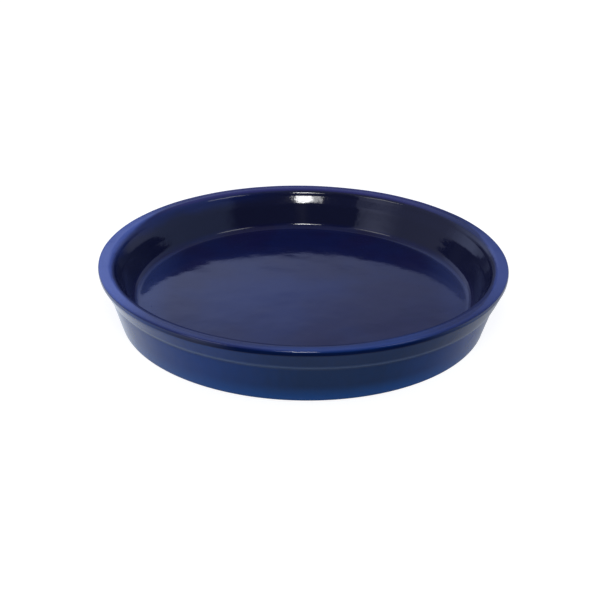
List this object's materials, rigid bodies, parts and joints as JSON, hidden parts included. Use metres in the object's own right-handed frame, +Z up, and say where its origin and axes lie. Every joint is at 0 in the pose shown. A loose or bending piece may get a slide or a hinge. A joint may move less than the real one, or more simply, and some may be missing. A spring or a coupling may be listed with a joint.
{
  "type": "plant saucer",
  "caption": "Round glazed ceramic saucer that stands under a plant pot and holds its drain water, with a wide flat floor, leaning wall, proud collar and foot ring.",
  "frame": {"origin": "middle of the foot ring, on the surface that the saucer stands on", "axes": "+Z up along the saucer's axis of revolution; X and Y lie across the saucer and are equivalent"},
  "size_m": [0.3, 0.3, 0.044],
  "materials": {
    "bare_clay": "matte fired clay, unglazed, fine sandy texture",
    "cobalt_glaze": "gloss, deep cobalt blue, lighter where it runs thin over edges"
  },
  "bodies": {
    "root": {"clay_body": "bare_clay", "inner_glaze": "cobalt_glaze", "outer_glaze": "cobalt_glaze"}
  },
  "joints": []
}
